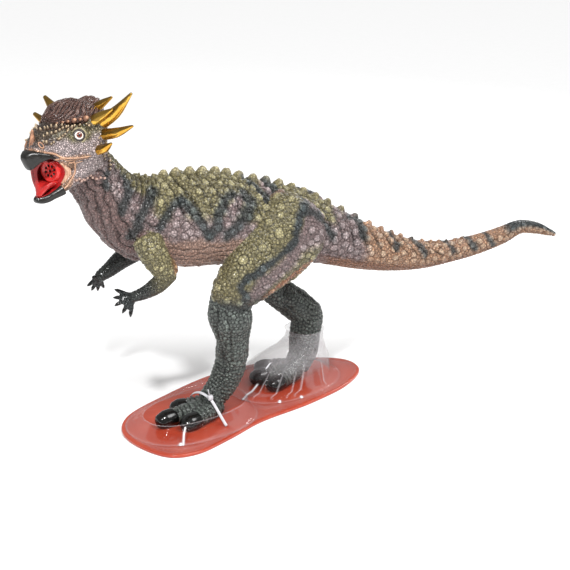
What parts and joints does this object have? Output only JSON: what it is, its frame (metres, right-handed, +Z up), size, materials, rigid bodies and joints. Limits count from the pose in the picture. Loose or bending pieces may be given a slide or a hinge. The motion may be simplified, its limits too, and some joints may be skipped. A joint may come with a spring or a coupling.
{
  "type": "toy dinosaur",
  "caption": "Soft-vinyl toy dinosaur with a domed, horned head and open red mouth, striding on a red base plate under a clear moulded foot cover.",
  "frame": {"origin": "on the underside of the base plate, under the animal's mid-plane, below the hips", "axes": "+Z up, -X the way the animal strides, -Y the animal's left side"},
  "size_m": [0.5866, 0.1838, 0.3463],
  "materials": {
    "olive_skin": "painted soft vinyl, olive with dark stripes",
    "lilac_skin": "painted soft vinyl, mauve beads over brown",
    "tail_skin": "painted soft vinyl, terracotta with dark bands",
    "dark_skin": "painted soft vinyl, dark green-black, pebbled",
    "dome_skin": "painted soft vinyl, dark red-brown, wrinkled",
    "gold_horn": "metallic gold paint on vinyl",
    "tan_horn": "tan paint on vinyl",
    "black_claw": "gloss black",
    "mouth_red": "satin red moulding",
    "eye_gloss": "gloss white with brown iris",
    "base_red": "gloss red moulded plate",
    "clear_cover": "clear thermoformed sheet",
    "tie_white": "natural nylon"
  },
  "bodies": {
    "root": {"head": "lilac_skin", "dome": "dome_skin", "upper_beak": "black_claw", "lower_beak": "black_claw", "nose_horn": "tan_horn", "mouth_lining": "mouth_red", "speaker_grille": "mouth_red", "tongue": "mouth_red", "eye_left": "eye_gloss", "eye_right": "eye_gloss", "horn_rear_left": "gold_horn", "horn_crown_left": "gold_horn", "horn_inner_left": "gold_horn", "horn_side_left": "gold_horn", "horn_cheek_left": "gold_horn", "horn_rear_right": "gold_horn", "horn_crown_right": "gold_horn", "horn_inner_right": "gold_horn", "horn_side_right": "gold_horn", "horn_cheek_right": "gold_horn", "neck": "lilac_skin", "torso": "olive_skin", "tail_base": "lilac_skin", "tail_middle": "tail_skin", "tail_rear": "tail_skin", "tail_tip": "tail_skin", "thigh_left": "olive_skin", "shin_left": "dark_skin", "foot_left": "dark_skin", "claw_middle_left": "black_claw", "claw_outer_left": "black_claw", "claw_inner_left": "black_claw", "thigh_right": "olive_skin", "shin_right": "dark_skin", "foot_right": "dark_skin", "claw_middle_right": "black_claw", "claw_outer_right": "black_claw", "claw_inner_right": "black_claw", "upper_arm_left": "olive_skin", "forearm_left": "dark_skin", "upper_arm_right": "olive_skin", "forearm_right": "dark_skin", "stand_base": "base_red", "cover_front": "clear_cover", "cover_rear": "clear_cover", "cover_neck": "clear_cover", "cover_flange": "clear_cover", "stand_tie": "tie_white"}
  },
  "joints": []
}
